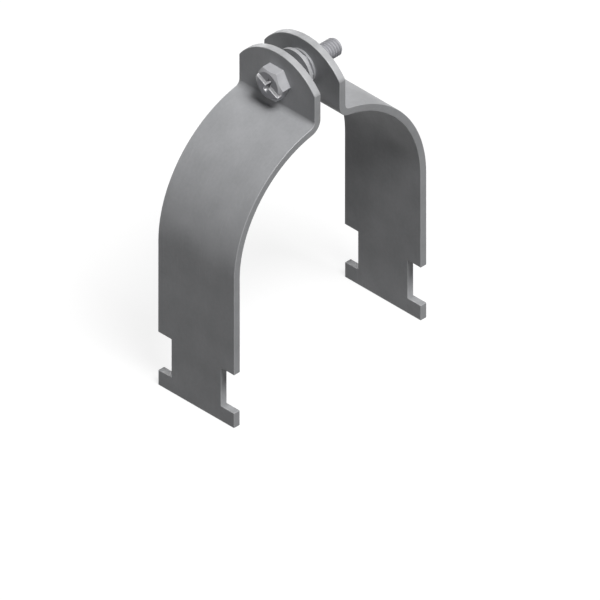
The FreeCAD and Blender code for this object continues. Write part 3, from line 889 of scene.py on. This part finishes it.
class CLAMP_OT_add_straps(Operator):
    """Adds the front and the rear strap, the same strip turned round with a larger hole"""

    bl_idname = "clamp.add_straps"
    bl_label = "Add Straps"

    def execute(self, context):
        sizes = context.scene.clamp_straps
        finish = context.scene.clamp_finish
        rolled = zinc_material(
            "zinc on the rolled strip", finish, finish.strap_colour, finish.rubbed_and_highlight_colour,
            finish.strap_roughness, ROLLED_FACE, finish.grain, finish.metallic,
        )
        # Its darker colour is painted shade on the strip's sides.
        sheared = zinc_material(
            "zinc on the sheared edge", finish, finish.sheared_shade_colour, finish.rubbed_and_highlight_colour,
            finish.strap_roughness, SHEARED_FACE, finish.grain, finish.metallic,
        )
        for name, node, body, hole, turned in (
            ("front_strap_bent", "front_strap", "front_half", sizes.front_hole, False),
            ("rear_strap_bent", "rear_strap", "rear_half", sizes.rear_hole, True),
        ):
            bm = bent_strap(sizes, hole)
            if turned:
                half_turn = Matrix.Rotation(math.pi, 3, "Z")
                bmesh.ops.rotate(bm, verts=bm.verts[:], cent=(0, 0, 0), matrix=half_turn)
            use_second_material(bm, "sheared")
            add_piece(name, bm, body, node, (rolled, sheared))
        return {"FINISHED"}


class CLAMP_OT_add_screw(Operator):
    """Adds the hexagon head screw with its slot, its cross and its thread"""

    bl_idname = "clamp.add_screw"
    bl_label = "Add Screw"

    def execute(self, context):
        finish = context.scene.clamp_finish
        zinc = zinc_material(
            "zinc on the screw", finish, finish.screw_colour, finish.rubbed_and_highlight_colour,
            finish.screw_roughness, TURNED_FACE, finish.grain * TURNED_GRAIN, finish.metallic,
        )
        # Bare steel, also a painted highlight in the slot.
        bare = zinc_material(
            "steel rubbed bare in the slot", finish, finish.bare_and_highlight_colour, finish.bare_and_highlight_colour,
            finish.bare_roughness, TURNED_FACE, finish.grain * TURNED_GRAIN,
            finish.bare_metallic,
        )
        bm = screw_shape(context.scene.clamp_screw)
        use_second_material(bm, "bare")
        add_piece("screw_threaded", bm, "screw", "clamp_screw", (zinc, bare))
        return {"FINISHED"}


class CLAMP_OT_add_nut(Operator):
    """Adds the captive nut with its flange, hexagon, collar, riveted end and thread"""

    bl_idname = "clamp.add_nut"
    bl_label = "Add Nut"

    def execute(self, context):
        finish = context.scene.clamp_finish
        zinc = zinc_material(
            "zinc on the nut", finish, finish.nut_colour, finish.rubbed_and_highlight_colour,
            finish.screw_roughness, TURNED_FACE, finish.grain * TURNED_GRAIN, finish.metallic,
        )
        bm = nut_shape(context.scene.clamp_nut, context.scene.clamp_screw)
        add_piece("nut_threaded", bm, "rear_half", "captive_nut", (zinc,))
        return {"FINISHED"}


def seen_directly(tree):
    """1 for what the camera sees, straight, mirrored or through glass, and 0 for lighting."""
    rays = tree.nodes.new("ShaderNodeLightPath").outputs
    bent = math_node(tree, "MAXIMUM", rays["Is Glossy Ray"], rays["Is Transmission Ray"])
    return math_node(tree, "MAXIMUM", rays["Is Camera Ray"], bent)


def pale_surface(name, base, glow):
    """A floor that looks white to the camera and in shine, and still shows the shadow."""
    material = bpy.data.materials.new(name)
    material.use_nodes = True
    tree = material.node_tree
    tree.nodes.remove(tree.nodes["Principled BSDF"])
    out = tree.nodes["Material Output"]
    seen = seen_directly(tree)
    diffuse = tree.nodes.new("ShaderNodeBsdfDiffuse")
    tint = scale_node(tree, base, math_node(tree, "MAXIMUM", seen, FLOOR_BOUNCE))
    tree.links.new(tint, diffuse.inputs["Color"])
    light = tree.nodes.new("ShaderNodeEmission")
    tree.links.new(math_node(tree, "MULTIPLY", seen, glow), light.inputs["Strength"])
    both = tree.nodes.new("ShaderNodeAddShader")
    tree.links.new(diffuse.outputs[0], both.inputs[0])
    tree.links.new(light.outputs[0], both.inputs[1])
    tree.links.new(both.outputs[0], out.inputs["Surface"])
    return material


def add_soft_light(name, power, softness, toward):
    """A soft, even light from one direction."""
    data = bpy.data.lights.new(name, "SUN")
    data.energy = power
    data.angle = softness
    lamp = bpy.data.objects.new(name, data)
    lamp.location = Vector(toward) * LAMP_DISTANCE
    lamp.rotation_euler = (-Vector(toward)).to_track_quat("-Z", "Y").to_euler()
    bpy.context.scene.collection.objects.link(lamp)


def add_floor(scene, studio):
    """The pale floor, just below the feet."""
    bm = bmesh.new()
    bmesh.ops.create_grid(bm, x_segments=1, y_segments=1, size=studio.floor_size / 2)
    bmesh.ops.translate(bm, verts=bm.verts[:], vec=(0.0, 0.0, STRAP_LOW.z - FLOOR_GAP))
    mesh = bpy.data.meshes.new("floor")
    bm.to_mesh(mesh)
    bm.free()
    mesh.materials.append(pale_surface("pale floor", studio.floor_colour, studio.floor_glow))
    floor = bpy.data.objects.new("floor", mesh)
    scene.collection.objects.link(floor)


def add_world(scene, studio):
    """A white surround for the camera, with little light of its own."""
    world = bpy.data.worlds.new("studio")
    world.use_nodes = True
    tree = world.node_tree
    back = tree.nodes["Background"]
    back.inputs["Color"].default_value = WHITE
    level = math_node(tree, "MAXIMUM", seen_directly(tree), studio.ambient)
    tree.links.new(level, back.inputs["Strength"])
    scene.world = world


def add_camera(scene, studio):
    """The parallel camera, at the isometric angle."""
    data = bpy.data.cameras.new("camera")
    data.type = "ORTHO"
    data.ortho_scale = studio.view_width
    data.clip_start = CLIP_START
    data.clip_end = CLIP_END
    camera = bpy.data.objects.new("camera", data)
    toward = Vector(VIEW_DIRECTION).normalized()
    camera.location = Vector(studio.view_centre) - toward * CAMERA_DISTANCE
    camera.rotation_euler = toward.to_track_quat("-Z", "Y").to_euler()
    scene.collection.objects.link(camera)
    scene.camera = camera


class CLAMP_OT_set_stage(Operator):
    """Adds the pale floor, the soft lamps, the surrounding light and the camera"""

    bl_idname = "clamp.set_stage"
    bl_label = "Set Stage"

    def execute(self, context):
        scene = context.scene
        studio = scene.clamp_studio
        add_floor(scene, studio)
        add_world(scene, studio)
        add_soft_light("key light", studio.key_strength, studio.softness, studio.key_direction)
        add_soft_light(
            "back light", studio.back_strength, studio.softness, studio.back_direction
        )
        add_camera(scene, studio)
        scene.view_settings.view_transform = "Standard"
        return {"FINISHED"}


class CLAMP_PT_sidebar(Panel):
    """The clamp's sizes, finish and studio, with the operators that build them"""

    bl_label = "Strut Clamp"
    bl_idname = "CLAMP_PT_sidebar"
    bl_space_type = "VIEW_3D"
    bl_region_type = "UI"
    bl_category = "Strut Clamp"

    def draw(self, context):
        for holder, operator in (
            ("clamp_straps", CLAMP_OT_add_straps), ("clamp_screw", CLAMP_OT_add_screw),
            ("clamp_nut", CLAMP_OT_add_nut), ("clamp_finish", None),
            ("clamp_studio", CLAMP_OT_set_stage),
        ):
            group = getattr(context.scene, holder)
            box = self.layout.box()
            box.label(text=group.bl_rna.description)
            for name in group.__annotations__:
                box.prop(group, name)
            if operator:
                box.operator(operator.bl_idname)


HOLDERS = {
    "clamp_straps": StrapSizes,
    "clamp_screw": ScrewSizes,
    "clamp_nut": NutSizes,
    "clamp_finish": ZincFinish,
    "clamp_studio": StudioSettings,
}
CLASSES = (
    *HOLDERS.values(), CLAMP_OT_add_straps, CLAMP_OT_add_screw, CLAMP_OT_add_nut,
    CLAMP_OT_set_stage, CLAMP_PT_sidebar,
)


def register():
    for cls in CLASSES:
        bpy.utils.register_class(cls)
    for name, group in HOLDERS.items():
        setattr(bpy.types.Scene, name, PointerProperty(type=group))


def unregister():
    for name in HOLDERS:
        delattr(bpy.types.Scene, name)
    for cls in reversed(CLASSES):
        bpy.utils.unregister_class(cls)


def main():
    for thing in list(bpy.data.objects):
        if thing not in [*frame["nodes"].values(), *frame["bodies"].values()]:
            bpy.data.objects.remove(thing)
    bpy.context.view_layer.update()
    register()
    bpy.ops.clamp.set_stage()
    bpy.ops.clamp.add_straps()
    bpy.ops.clamp.add_screw()
    bpy.ops.clamp.add_nut()


if __name__ == "__main__":
    main()
